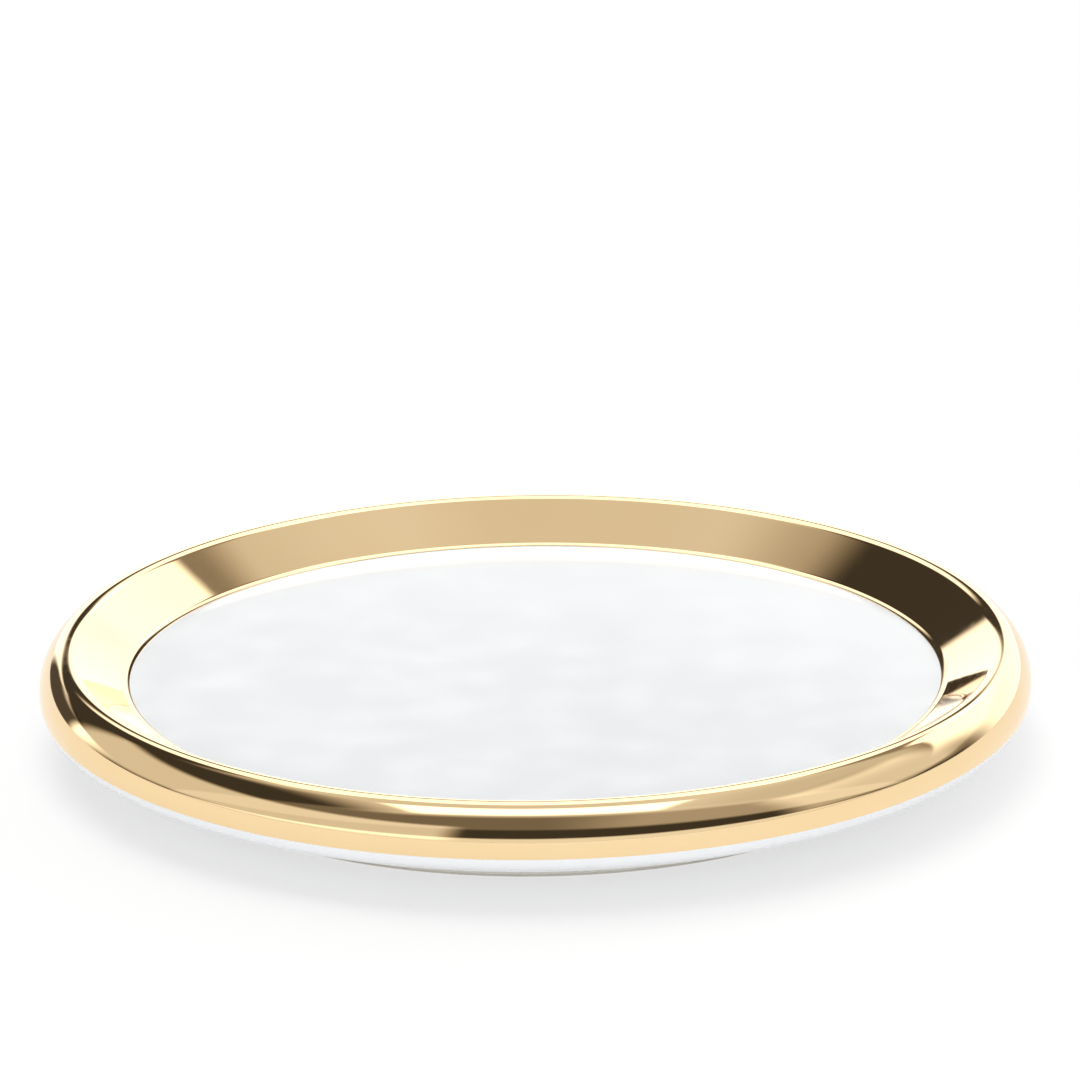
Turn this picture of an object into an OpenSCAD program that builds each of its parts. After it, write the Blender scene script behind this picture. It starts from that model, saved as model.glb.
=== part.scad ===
/* [Dish] */
// Width across the whole dish, over the gold
overall_d = 110; // [90:1:140]
// Height from the table to the crest of the rim, over the gold
overall_h = 12; // [11:0.5:16]
// Width of the rim around the flat white floor of the well
rim_w = 10; // [9:0.5:20]
// Depth of the well below the crest
well_depth = 4; // [3.5:0.1:5]

/* [Rim] */
// Radius of the rounding over the crest
crest_round = 1.9; // [1.4:0.1:2.2]
// Radius of the bulging outer face of the rim
outer_round = 5; // [4.4:0.1:5.4]
// Angle from straight up at which the crest passes into the outer face
crest_turn = 40; // [30:1:45]
// Angle from straight up at which the outer face starts to turn under
under_turn = 100; // [95:1:105]
// Radius of the turn from the outer face to the underside
under_round = 2.5; // [2:0.1:3]
// Radius of the hollow corner between the floor and the wall of the well
cove_round = 1.5; // [0.8:0.1:2]
// Radius of the gently bellied underside
belly_round = 120; // [90:5:200]

/* [Foot] */
// How far the foot ring is set in from the widest line of the rim
foot_in = 12; // [11:0.5:24]
// Width of the foot ring's wall, with its bevels and its glaze
foot_w = 4; // [2.5:0.5:6]
// Small bevel along both lower edges of the foot ring
foot_bevel = 0.4; // [0.2:0.1:0.5]
// Height of the bare clay that shows below the glaze
bare_h = 0.8; // [0.6:0.1:1]
// Depth of the recess inside the foot ring
recess_depth = 3; // [2.2:0.1:3.5]
// Radius of the corner at the roof of the recess
recess_round = 1.5; // [0.6:0.1:1.5]

/* [Coats] */
// Thickness of the white glaze
glaze_t = 0.3; // [0.2:0.05:0.4]
// Thickness of the gold band
gold_t = 0.1; // [0.05:0.05:0.15]
// Angle from straight up at which the gold ends below the widest line
gold_end = 101; // [92:1:104]

/* [Hidden] */
$fn = 240;

// Direction in the section that leans outward from straight up by an angle
function leaning(angle) = [sin(angle), cos(angle)];

// Point at the given distances from two points, on the side of the axis
function meeting(a, from_a, b, from_b) =
    let (
        span = norm(b - a),
        along = (span * span + from_a * from_a - from_b * from_b) / (2 * span),
        aside = sqrt(from_a * from_a - along * along),
        ahead = (b - a) / span
    )
    a + along * ahead + aside * [-ahead.y, ahead.x];

// How far a rounding stands proud of its neighbour, so that the two cross cleanly
proud = 0.002;
// The section is drawn as [distance from the axis, height above the table].
// Its named points lie on the glazed surface, which the gold covers.
well_r = overall_d / 2 - rim_w;
floor_z = overall_h - well_depth;
foot_r = overall_d / 2 - foot_in;
outer_c_r = overall_d / 2 - gold_t - outer_round;
crest_out = outer_round - crest_round + proud;
crest_c = [outer_c_r + crest_out * sin(crest_turn), overall_h - gold_t - crest_round];
outer_c = crest_c - crest_out * leaning(crest_turn);
outer_mid = leaning((crest_turn + under_turn) / 2);
under_c = outer_c + (outer_round - under_round + proud) * leaning(under_turn);
foot_top = [foot_r, bare_h];
belly_c = meeting(foot_top, belly_round, under_c, belly_round - under_round + proud);
under_end = atan2(under_c.x - belly_c.x, under_c.y - belly_c.y);
cove_c = [well_r, floor_z + cove_round];
cove_to_crest = crest_c - cove_c;
wall_slope = atan2(cove_to_crest.y, cove_to_crest.x)
    + asin((cove_round + crest_round) / norm(cove_to_crest));
// Radius of the line in the middle of the foot ring, where its two glazes part
foot_mid_r = foot_r - foot_w / 2;
// Height halfway through the clay over the recess, where its two glazes part
clay_mid_z = (recess_depth + floor_z) / 2;
// How far the shapes that cut or overlap reach past the section
past = 1;
// How far the outer face's zones reach from its centre, well past its surface
reach = overall_h;

// Rounded corner of the section, smaller by the depth below the glazed surface
module round_at(centre, radius, depth) {
    translate(centre) circle(r = radius - depth);
}

// Outer face of the rim, from the crest's rounding to the turn below
module outer_face(depth) {
    intersection() {
        round_at(outer_c, outer_round, depth);
        polygon([
            outer_c,
            outer_c + reach * leaning(crest_turn),
            outer_c + reach * outer_mid,
            outer_c + reach * leaning(under_turn)
        ]);
    }
}

// Bellied underside, from the turn below the rim in to the top of the foot
module belly(depth) {
    turned = under_c + (under_round - depth) * leaning(under_end);
    intersection() {
        round_at(belly_c, belly_round, depth);
        polygon([
            [foot_r - depth, floor_z - past],
            [foot_r - depth, bare_h - past],
            [turned.x, bare_h - past],
            turned,
            under_c
        ]);
    }
}

// Solid middle, from the axis out to the roundings of the rim
module middle(depth) {
    uphill = [-sin(wall_slope), cos(wall_slope)];
    difference() {
        polygon([
            [0, 0],
            [foot_r - depth - foot_bevel, 0],
            [foot_r - depth, foot_bevel],
            [foot_r - depth, clay_mid_z],
            under_c,
            outer_c + outer_round / 2 * outer_mid,
            crest_c,
            crest_c + (crest_round - depth - proud) * uphill,
            cove_c - (cove_round + depth) * uphill,
            [well_r, floor_z - depth],
            [0, floor_z - depth]
        ]);
        round_at(cove_c, cove_round + proud, -depth);
    }
}

// Recess inside the foot ring
module recess(depth) {
    roof = recess_depth + depth;
    inner_r = foot_r - foot_w + depth;
    round_r = recess_round + depth;
    polygon([
        [-past, -past],
        [inner_r + foot_bevel + past, -past],
        [inner_r, foot_bevel],
        [inner_r, roof - round_r],
        [inner_r - round_r, roof],
        [-past, roof]
    ]);
    translate([inner_r - round_r, roof - round_r]) circle(r = round_r);
}

// Half section of the dish at a depth below its glazed surface
module section(depth) {
    difference() {
        union() {
            middle(depth);
            belly(depth);
            outer_face(depth);
            round_at(crest_c, crest_round, depth);
            round_at(under_c, under_round, depth);
        }
        recess(depth);
    }
}

// Fired clay body with its bare foot ring
module dish_body() {
    color("ivory") rotate_extrude() section(glaze_t);
}

// White glaze over the well, the rim and the underside
module glaze_coat() {
    color("white") rotate_extrude() intersection() {
        difference() {
            section(0);
            section(glaze_t);
        }
        union() {
            translate([0, clay_mid_z]) square([overall_d, overall_h]);
            translate([foot_mid_r, bare_h]) square([overall_d, overall_h]);
        }
    }
}

// White glaze on the roof and wall of the recess
module recess_glaze() {
    color("white") rotate_extrude() intersection() {
        difference() {
            section(0);
            section(glaze_t);
        }
        translate([0, bare_h]) square([foot_mid_r, clay_mid_z - bare_h]);
    }
}

// Fired gold over the wall, the crest and the outer face
module gold_band() {
    color("gold") rotate_extrude() intersection() {
        difference() {
            section(-gold_t);
            section(0);
        }
        polygon([
            [well_r, floor_z - past],
            outer_c,
            outer_c + reach * leaning(gold_end),
            [overall_d, overall_h + past],
            [well_r, overall_h + past]
        ]);
    }
}

dish_body();
glaze_coat();
recess_glaze();
gold_band();
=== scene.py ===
import math

import bpy
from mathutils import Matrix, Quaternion, Vector


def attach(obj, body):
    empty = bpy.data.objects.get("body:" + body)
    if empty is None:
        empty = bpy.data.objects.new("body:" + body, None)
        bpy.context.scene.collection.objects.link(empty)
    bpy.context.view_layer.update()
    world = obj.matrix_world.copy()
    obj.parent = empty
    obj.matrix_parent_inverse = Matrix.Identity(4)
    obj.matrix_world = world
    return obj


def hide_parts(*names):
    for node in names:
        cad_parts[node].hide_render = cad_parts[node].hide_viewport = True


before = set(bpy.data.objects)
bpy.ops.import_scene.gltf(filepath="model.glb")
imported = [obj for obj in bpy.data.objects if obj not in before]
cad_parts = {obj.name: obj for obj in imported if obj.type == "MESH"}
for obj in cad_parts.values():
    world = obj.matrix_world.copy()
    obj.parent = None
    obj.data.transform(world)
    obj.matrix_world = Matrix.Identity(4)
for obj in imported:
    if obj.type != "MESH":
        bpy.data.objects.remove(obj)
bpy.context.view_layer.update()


# Camera
# The photograph is taken with a long lens from about 0.77 m, 19 degrees above
# the table. The dish stands a little low in the picture, its right side raised.
WELL_FLOOR = Vector((0, 0, 0.008))
CAMERA_DISTANCE = 0.76985
CAMERA_HEIGHT_ANGLE = math.radians(19.2776)
CAMERA_PAN = math.radians(-0.0506)
CAMERA_TILT = math.radians(1.0959)
CAMERA_ROLL = math.radians(-0.6233)
SENSOR_WIDTH = 36
LENS_LENGTH = 231.1

camera = bpy.data.objects.new("camera", bpy.data.cameras.new("camera"))
bpy.context.scene.collection.objects.link(camera)
bpy.context.scene.camera = camera
camera.data.sensor_width = SENSOR_WIDTH
camera.data.lens = LENS_LENGTH
backwards = Vector((0, -math.cos(CAMERA_HEIGHT_ANGLE), math.sin(CAMERA_HEIGHT_ANGLE)))
camera.location = WELL_FLOOR + CAMERA_DISTANCE * backwards
camera.rotation_mode = "QUATERNION"
camera.rotation_quaternion = (
    (-backwards).to_track_quat("-Z", "Y")
    @ Quaternion((0, 1, 0), CAMERA_PAN)
    @ Quaternion((1, 0, 0), CAMERA_TILT)
    @ Quaternion((0, 0, 1), CAMERA_ROLL)
)


# Clay body
# The body is one piece of white clay, pressed in a mould, turned clean and
# fired. Only the narrow foot ring that it stands on is left without glaze.
MM = 0.001

# The section is drawn in millimetres, as [distance from the axis, height], and
# its angles are in degrees from straight up, leaning out.
OVERALL_R = 55.0
OVERALL_H = 12.0
WELL_R = 45.0
FLOOR_Z = 8.0
CREST_ROUND = 1.9
OUTER_ROUND = 5.0
UNDER_ROUND = 2.5
COVE_ROUND = 1.5
BELLY_ROUND = 120.0
CREST_TURN = 40.0
UNDER_TURN = 100.0
FOOT_R = 43.0
FOOT_W = 4.0
FOOT_BEVEL = 0.4
BARE_H = 0.8
RECESS_DEPTH = 3.0
RECESS_ROUND = 1.5
GLAZE_T = 0.3
GOLD_T = 0.1
FLOOR_RINGS = (0, 15, 30, 40, 44)
ROOF_RINGS = (30, 15, 0)
TURNS = 360
ARC_STEP = 2.5
BELLY_STEP = 0.5
MERGE_WITHIN = 0.002 * MM
SMOOTH_UP_TO = math.radians(25)


def leaning(angle):
    """Direction in the section that leans out from straight up by an angle."""
    return Vector((math.sin(math.radians(angle)), math.cos(math.radians(angle))))


# The crest, the outer face and the turn below it are roundings that touch each
# other. The well's straight wall touches the crest and the hollow at its foot.
crest_out = OUTER_ROUND - CREST_ROUND
outer_c_r = OVERALL_R - GOLD_T - OUTER_ROUND
crest_c = Vector((outer_c_r, 0)) + Vector(
    (crest_out * leaning(CREST_TURN).x, OVERALL_H - GOLD_T - CREST_ROUND)
)
outer_c = crest_c - crest_out * leaning(CREST_TURN)
under_c = outer_c + (OUTER_ROUND - UNDER_ROUND) * leaning(UNDER_TURN)
cove_c = Vector((WELL_R, FLOOR_Z + COVE_ROUND))
to_crest = crest_c - cove_c
wall_slope = math.degrees(
    math.atan2(to_crest.y, to_crest.x) + math.asin((COVE_ROUND + CREST_ROUND) / to_crest.length)
)

# The belly passes through the top of the bare foot and touches the turn below
# the rim, which fixes its centre.
foot_top = Vector((FOOT_R, BARE_H))
to_under = under_c - foot_top
under_reach = BELLY_ROUND - UNDER_ROUND
along = (to_under.length_squared + BELLY_ROUND**2 - under_reach**2) / (2 * to_under.length)
aside = math.sqrt(BELLY_ROUND**2 - along**2)
ahead = to_under.normalized()
belly_c = foot_top + along * ahead + aside * Vector((-ahead.y, ahead.x))
under_end = 90 - math.degrees(math.atan2(under_c.y - belly_c.y, under_c.x - belly_c.x))


def arc(centre, radius, start, end, step=ARC_STEP):
    """Points on a rounding of the section, from one angle to another."""
    count = max(2, math.ceil(abs(end - start) / step))
    return [centre + radius * leaning(start + (end - start) * i / count) for i in range(count + 1)]


def rim_side(depth):
    """The well's wall and the crest at a depth below the glaze, from the floor's edge out."""
    return (
        arc(cove_c, COVE_ROUND + depth, 180, 180 - wall_slope)
        + arc(crest_c, CREST_ROUND - depth, -wall_slope, CREST_TURN)
    )


def top_side(depth):
    """The floor, the wall and the crest at a depth below the glaze, from the axis out."""
    return [Vector((r, FLOOR_Z - depth)) for r in FLOOR_RINGS] + rim_side(depth)


def outer_side(depth, turn_end):
    """The outer face from the crest down, and the turn below it as far as an angle."""
    return (
        arc(outer_c, OUTER_ROUND - depth, CREST_TURN, UNDER_TURN)[1:]
        + arc(under_c, UNDER_ROUND - depth, UNDER_TURN, turn_end)[1:]
    )


def under_side(depth):
    """The outer face and the underside at a depth below the glaze, down to the foot."""
    reach = BELLY_ROUND - depth
    foot_angle = 180 - math.degrees(math.asin((FOOT_R - depth - belly_c.x) / reach))
    return (
        outer_side(depth, under_end)
        + arc(belly_c, reach, under_end, foot_angle, BELLY_STEP)[1:]
    )


def recess_side(depth):
    """The recess in the foot at a depth behind its glaze, from the foot in to the axis."""
    inner_r = FOOT_R - FOOT_W + depth
    roof = RECESS_DEPTH + depth
    corner = Vector((inner_r - RECESS_ROUND - depth, roof - RECESS_ROUND - depth))
    return arc(corner, RECESS_ROUND + depth, 90, 0) + [Vector((r, roof)) for r in ROOF_RINGS]


def turned(name, outline):
    """A piece as on a wheel: one point is drawn out along the outline, which is then spun."""
    bpy.ops.object.select_all(action="DESELECT")
    bpy.ops.mesh.primitive_plane_add(size=MM, location=(0, 0, 0))
    piece = bpy.context.object
    piece.name = name
    piece.data.name = name
    bpy.ops.object.mode_set(mode="EDIT")
    bpy.ops.mesh.select_all(action="SELECT")
    bpy.ops.mesh.merge(type="CENTER")
    start = outline[0] * MM
    bpy.ops.transform.translate(value=(start.x, 0, start.y))
    for last, point in zip(outline, outline[1:]):
        step = (point - last) * MM
        bpy.ops.mesh.extrude_vertices_move(TRANSFORM_OT_translate={"value": (step.x, 0, step.y)})
    bpy.ops.mesh.select_all(action="SELECT")
    bpy.ops.mesh.spin(steps=TURNS, angle=2 * math.pi, center=(0, 0, 0), axis=(0, 0, 1))
    bpy.ops.mesh.select_all(action="SELECT")
    bpy.ops.mesh.remove_doubles(threshold=MERGE_WITHIN)
    bpy.ops.mesh.normals_make_consistent(inside=False)
    bpy.ops.object.mode_set(mode="OBJECT")
    bpy.ops.object.shade_smooth_by_angle(angle=SMOOTH_UP_TO)
    return piece


class Field:
    """A node's output that takes part in sums as a number does."""

    def __init__(self, tree, socket):
        self.tree = tree
        self.socket = socket

    def output(self, name):
        """Another output of the same node."""
        return Field(self.tree, self.socket.node.outputs[name])

    def maths(self, operation, first, second):
        """The result of one operation on two fields or numbers."""
        return make(self.tree, "ShaderNodeMath", {"operation": operation}, {0: first, 1: second})

    def __add__(self, other):
        return self.maths("ADD", self, other)

    __radd__ = __add__

    def __mul__(self, other):
        return self.maths("MULTIPLY", self, other)

    __rmul__ = __mul__

    def __sub__(self, other):
        return self.maths("SUBTRACT", self, other)

    def __rsub__(self, other):
        return self.maths("SUBTRACT", other, self)


def make(tree, kind, settings=None, inputs=None, output=0):
    """A new node with its settings made and its sockets set or linked, as one of its outputs."""
    node = tree.nodes.new(kind)
    for name, value in (settings or {}).items():
        setattr(node, name, value)
    for name, value in (inputs or {}).items():
        if isinstance(value, Field):
            tree.links.new(value.socket, node.inputs[name])
        else:
            node.inputs[name].default_value = value
    return Field(tree, node.outputs[output]) if node.outputs else None


def emptied(owner):
    """The node tree of a new material or world, with nothing in it yet."""
    owner.use_nodes = True
    owner.node_tree.nodes.clear()
    return owner.node_tree


def finish_of(name):
    """A new material, its empty node tree, and where on the piece each point lies."""
    material = bpy.data.materials.new(name)
    tree = emptied(material)
    return material, tree, make(tree, "ShaderNodeTexCoord", output="Object")


def noise(tree, place, scale, detail):
    """Soft random clouds from 0 to 1, with so many of them to a metre."""
    return make(
        tree, "ShaderNodeTexNoise", {}, {"Vector": place, "Scale": scale, "Detail": detail}
    )


def between(tree, value, low, high, start=0.0, end=1.0):
    """A smooth step from start to end, as a value goes from low to high."""
    return make(
        tree, "ShaderNodeMapRange", {"interpolation_type": "SMOOTHSTEP"},
        {"Value": value, "From Min": low, "From Max": high, "To Min": start, "To Max": end},
    )


def blended(tree, share, first, second):
    """A colour that goes from the first to the second."""
    return make(tree, "ShaderNodeMix", {"data_type": "RGBA"}, {0: share, 6: first, 7: second}, 2)


def bumped(tree, height, strength, distance):
    """Small rises and hollows in the surface."""
    return make(
        tree, "ShaderNodeBump", {}, {"Height": height, "Strength": strength, "Distance": distance}
    )


def surface(tree, inputs):
    """The one surface that a piece's material shows."""
    shader = make(tree, "ShaderNodeBsdfPrincipled", {}, inputs)
    make(tree, "ShaderNodeOutputMaterial", {}, {"Surface": shader})


clay_outline = (
    top_side(GLAZE_T)
    + under_side(GLAZE_T)
    + [
        Vector((FOOT_R - GLAZE_T, FOOT_BEVEL)),
        Vector((FOOT_R - GLAZE_T - FOOT_BEVEL, 0)),
        Vector((FOOT_R - FOOT_W + GLAZE_T + FOOT_BEVEL, 0)),
        Vector((FOOT_R - FOOT_W + GLAZE_T, FOOT_BEVEL)),
    ]
    + recess_side(GLAZE_T)
)
clay_body = turned("clay_body", clay_outline)

CLAY_DARK = (0.80, 0.76, 0.68, 1)
CLAY_LIGHT = (0.88, 0.85, 0.79, 1)
CLAY_SPECK = (0.62, 0.53, 0.42, 1)
bare_clay, tree, place = finish_of("bare_clay")
grain = noise(tree, place, 2600, 4)
cloud = noise(tree, place, 90, 3)
specks = between(tree, noise(tree, place, 900, 2), 0.68, 0.76)
clay_tone = blended(tree, cloud, CLAY_DARK, CLAY_LIGHT)
surface(tree, {
    "Base Color": blended(tree, specks * 0.5, clay_tone, CLAY_SPECK),
    "Roughness": between(tree, grain, 0.3, 0.7, 0.72, 0.9),
    "Normal": bumped(tree, grain, 0.6, 0.04 * MM),
})
clay_body.data.materials.append(bare_clay)
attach(clay_body, "root")
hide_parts("dish_body")


# White glaze
# A cool white glaze, dipped and fired to a smooth gloss, covers the well, the
# wall under the gold, and the underside down to a clean line above the foot.
glaze_outline = (
    top_side(0)
    + under_side(0)
    + [Vector((FOOT_R - GLAZE_T, BARE_H))]
    + list(reversed(top_side(GLAZE_T) + under_side(GLAZE_T)))
)
glaze = turned("white_glaze_coat", glaze_outline)

GLAZE_THIN = (0.82, 0.845, 0.872, 1)
GLAZE_THICK = (0.832, 0.857, 0.883, 1)
white_glaze, tree, place = finish_of("white_glaze")
drift = noise(tree, place, 45, 2)
ripple = noise(tree, place, 160, 2)
pits = between(tree, noise(tree, place, 1500, 2), 0.74, 0.8)
surface(tree, {
    "Base Color": blended(tree, drift, GLAZE_THIN, GLAZE_THICK),
    "Roughness": between(tree, ripple + pits * 0.4, 0.3, 0.9, 0.09, 0.2),
    "IOR": 1.5,
    "Coat Weight": between(tree, drift, 0.3, 0.7, 0.2, 0.35),
    "Coat Roughness": 0.05,
    "Normal": bumped(tree, ripple - pits * 0.3, 0.15, 0.05 * MM),
})
glaze.data.materials.append(white_glaze)
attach(glaze, "root")
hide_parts("glaze_coat")


# Recess glaze
# The same glaze lines the roof and wall of the recess inside the foot ring,
# and is wiped off the ring itself before firing.
recess_outline = (
    list(reversed(recess_side(0)))
    + [Vector((FOOT_R - FOOT_W, BARE_H)), Vector((FOOT_R - FOOT_W + GLAZE_T, BARE_H))]
    + recess_side(GLAZE_T)
)
recess = turned("foot_recess_glaze", recess_outline)

FOOT_GLAZE_THIN = (0.77, 0.785, 0.79, 1)
FOOT_GLAZE_THICK = (0.83, 0.84, 0.845, 1)
foot_glaze, tree, place = finish_of("foot_glaze")
drift = noise(tree, place, 60, 3)
ripple = noise(tree, place, 220, 2)
surface(tree, {
    "Base Color": blended(tree, drift, FOOT_GLAZE_THIN, FOOT_GLAZE_THICK),
    "Roughness": between(tree, ripple, 0.3, 0.7, 0.12, 0.26),
    "Coat Weight": between(tree, drift, 0.3, 0.7, 0.15, 0.3),
    "Coat Roughness": 0.08,
    "Normal": bumped(tree, ripple, 0.3, 0.08 * MM),
})
recess.data.materials.append(foot_glaze)
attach(recess, "root")
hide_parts("recess_glaze")


# Gold band
# Bright gold, brushed over the fired glaze on a turning wheel and fired again:
# it covers the wall, the crest and the outer face, with a clean edge each way.
GOLD_END = 101.0


def gold_side(depth):
    """The gold's surface at a depth below the glaze, from the floor's edge to its lower end."""
    over = (GOLD_END - UNDER_TURN) * (OUTER_ROUND - depth) / (UNDER_ROUND - depth)
    return rim_side(depth) + outer_side(depth, UNDER_TURN + over)


gold_outline = gold_side(-GOLD_T) + list(reversed(gold_side(0)))
gold_outline.append(gold_outline[0])
gold = turned("gold_rim_band", gold_outline)

GOLD_DEEP = (0.90, 0.66, 0.36, 1)
GOLD_PALE = (0.96, 0.73, 0.43, 1)
fired_gold, tree, place = finish_of("fired_gold")
wave = noise(tree, place, 55, 2)
fine = noise(tree, place, 700, 3)
dust = between(tree, noise(tree, place, 2400, 2), 0.72, 0.8)
surface(tree, {
    "Base Color": blended(tree, wave, GOLD_DEEP, GOLD_PALE),
    "Metallic": 1.0,
    "Roughness": between(tree, fine + dust * 0.5, 0.35, 1.1, 0.035, 0.12),
    "Normal": bumped(tree, wave, 0.12, 0.1 * MM),
})
gold.data.materials.append(fired_gold)
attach(gold, "root")
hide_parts("gold_band")


# Table
# The dish stands on a white table, which the camera and the gold see nearly
# white all over, with the dish's soft shadow on it.
TABLE_SIZE = 6
TABLE_WHITE = (0.86, 0.86, 0.86, 1)
PAPER_WHITE = (1, 1, 1, 1)
PAPER_SHARE = 0.62

bpy.ops.object.select_all(action="DESELECT")
bpy.ops.mesh.primitive_plane_add(size=TABLE_SIZE, location=(0, 0, 0))
table = bpy.context.object
table.name = "table"
table_white = bpy.data.materials.new("table_white")
tree = emptied(table_white)
rays = make(tree, "ShaderNodeLightPath")
seen = rays.output("Is Camera Ray") + rays.output("Is Glossy Ray")
matt = make(tree, "ShaderNodeBsdfDiffuse", {}, {"Color": TABLE_WHITE})
lit = make(tree, "ShaderNodeEmission", {}, {"Color": PAPER_WHITE, "Strength": 1.0})
paper = make(tree, "ShaderNodeMixShader", {}, {0: seen * PAPER_SHARE, 1: matt, 2: lit})
make(tree, "ShaderNodeOutputMaterial", {}, {"Surface": paper})
table.data.materials.append(table_white)


# Studio
# A white studio: a bright backdrop low behind the dish and up its right side,
# soft lights above, pale cards at the sides, and a darker room at the front.
TO_DEGREES = 180 / math.pi
DARKEST = 0.05
BACKDROP_RISE = 36
FLAG_SHARE = 0.95
WARM_WHITE = (1.0, 0.88, 0.74, 1)

world = bpy.data.worlds.new("studio")
bpy.context.scene.world = world
tree = emptied(world)

# A direction is told by how far to the right, back and up it goes, by its angle
# over the top from the horizon behind the dish, by its angle round to the left
# from there, and by its height above the horizon.
towards = make(tree, "ShaderNodeTexCoord", output="Generated")
parts = make(tree, "ShaderNodeSeparateXYZ", {}, {0: towards})
side, back, up = (parts.output(axis) for axis in ("X", "Y", "Z"))
over = make(tree, "ShaderNodeMath", {"operation": "ARCTAN2"}, {0: up, 1: back}) * TO_DEGREES
left = make(tree, "ShaderNodeMath", {"operation": "ARCTAN2"}, {0: 0 - side, 1: back}) * TO_DEGREES
height = make(tree, "ShaderNodeMath", {"operation": "ARCSINE"}, {0: up}) * TO_DEGREES


def zone(value, low, high, soft):
    """1 where a value lies between low and high, fading out over soft on each side."""
    return between(tree, value, low - soft, low + soft) * (
        1 - between(tree, value, high - soft, high + soft)
    )


to_right = between(tree, side, 0, 0.6)
backdrop = zone(over - to_right * BACKDROP_RISE, -80, 18, 1.5) * zone(side, -0.85, 0.85, 0.1)
softbox = zone(over, 27, 62, 3) * zone(side, -0.3, 0.3, 0.04)
front_light = zone(over, 93, 114, 2.5) * zone(side, -0.34, 0.34, 0.03)
ceiling = zone(over, 58, 118, 5) * zone(side, -0.46, 0.8, 0.14) * (1 - to_right * 0.45)
room = zone(over, 114, 150, 3)
right_side = zone(side, 0.2, 2, 0.2) * zone(over, 24, 150, 4)
left_card = zone(left, 52, 160, 4) * zone(height, 2, 34, 3)
right_card = zone(left, -120, -70, 6) * zone(height, 4, 40, 4)
low_front = zone(over, 171, 200, 2)
dark_flag = zone(left, 22, 50, 3) * zone(height, -5, 14, 3)
strength = (
    DARKEST
    + backdrop * 1.6
    + softbox * 1.7
    + front_light * 1.6
    + ceiling * 0.7
    + room * 0.14
    + right_side * 0.24
    + left_card * 0.7
    + right_card * 0.5
    + low_front * 0.85
) * (1 - dark_flag * FLAG_SHARE)
shade = blended(tree, between(tree, strength, 0.1, 0.9), WARM_WHITE, PAPER_WHITE)
studio = make(tree, "ShaderNodeBackground", {}, {"Color": shade, "Strength": strength})
make(tree, "ShaderNodeOutputWorld", {}, {"Surface": studio})


def soft_lamp(name, size, energy, place):
    """A round lamp that is aimed at the dish and doesn't show in the gold."""
    lamp = bpy.data.objects.new(name, bpy.data.lights.new(name, "AREA"))
    bpy.context.scene.collection.objects.link(lamp)
    lamp.data.shape = "DISK"
    lamp.data.size = size
    lamp.data.energy = energy
    lamp.location = place
    lamp.rotation_mode = "QUATERNION"
    lamp.rotation_quaternion = (WELL_FLOOR - lamp.location).to_track_quat("-Z", "Y")
    lamp.visible_glossy = False


soft_lamp("soft_light", size=1.2, energy=8.5, place=(-0.3, 0.25, 1.4))
soft_lamp("front_fill", size=0.8, energy=5, place=(0.1, -1.1, 0.25))

bpy.context.scene.view_settings.view_transform = "Standard"
